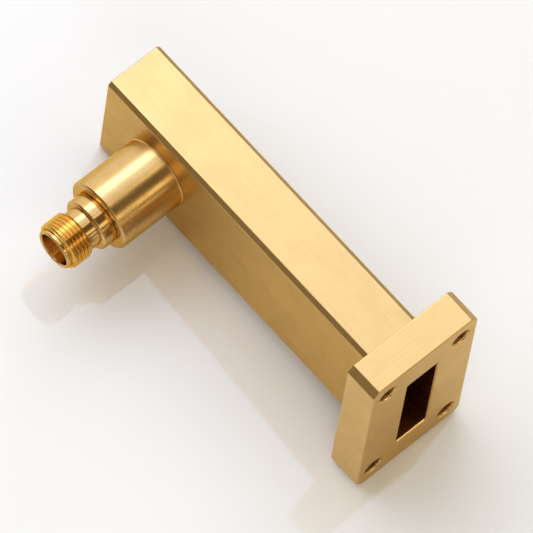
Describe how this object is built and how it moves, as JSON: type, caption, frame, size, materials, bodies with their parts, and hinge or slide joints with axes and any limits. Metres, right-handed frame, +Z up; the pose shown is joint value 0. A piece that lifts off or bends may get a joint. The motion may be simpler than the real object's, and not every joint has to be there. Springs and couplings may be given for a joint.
{
  "type": "waveguide to coaxial adapter",
  "caption": "Flat rectangular waveguide with a drilled mounting flange on its open end and a threaded coaxial jack at a right angle near its closed end.",
  "frame": {"origin": "centre of the guide's aperture in the flange's front face, which is also the centre of the hole pattern", "axes": "+X out of the guide through the flange, +Z up across the guide's broad dimension, the coaxial jack points to -Y"},
  "size_m": [0.0909, 0.0499, 0.0464],
  "materials": {
    "brushed_plate": "satin gold plate over brushed brass",
    "flange_plate": "satin gold plate over milled brass",
    "turned_plate": "bright gold plate over turned brass",
    "insulator": "matt white fluoroplastic",
    "contact_plate": "bright gold plate over spring alloy"
  },
  "bodies": {
    "root": {"waveguide_body": "brushed_plate", "mounting_flange": "flange_plate", "end_short": "flange_plate", "connector_barrel": "turned_plate", "connector_shell": "turned_plate", "front_insulator": "insulator", "rear_insulator": "insulator", "centre_contact": "contact_plate", "launch_probe": "contact_plate"}
  },
  "joints": []
}
